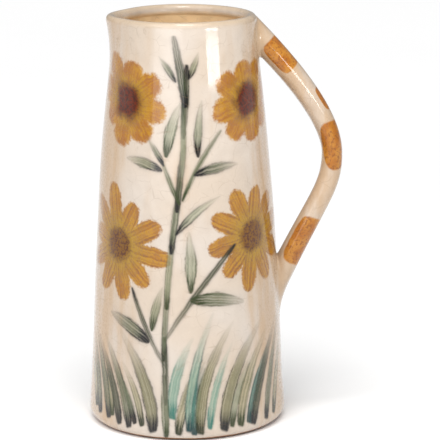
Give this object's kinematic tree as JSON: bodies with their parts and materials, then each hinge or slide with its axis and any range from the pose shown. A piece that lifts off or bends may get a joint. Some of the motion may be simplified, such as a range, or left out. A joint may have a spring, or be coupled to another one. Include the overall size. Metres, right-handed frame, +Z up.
{
  "type": "ceramic pitcher",
  "caption": "Tall tapered ceramic pitcher with a round loop handle, a small pulled spout and a rolled rim, cream glaze painted with flowers and grasses, for pouring or for cut flowers.",
  "frame": {"origin": "centre of the foot ring's resting face, on the axis of the round body", "axes": "+Z up along the body's axis, +X towards the handle, -X towards the spout, +Y to the left of someone who faces +X"},
  "size_m": [0.1872, 0.145, 0.3],
  "materials": {
    "painted_glaze": "glossy cream glaze over hand-painted flowers and grasses, fine crackle",
    "cream_glaze": "glossy cream glaze, warmer and thinner on the edges",
    "handle_glaze": "glossy cream glaze with ochre patches",
    "bare_clay": "matt unglazed brown stoneware"
  },
  "bodies": {
    "root": {"foot_ring": "bare_clay", "base_slab": "cream_glaze", "body_wall": "painted_glaze", "rim_bead": "cream_glaze", "pouring_spout": "cream_glaze", "handle": "handle_glaze", "handle_upper_luting": "handle_glaze", "handle_lower_luting": "handle_glaze"}
  },
  "joints": []
}
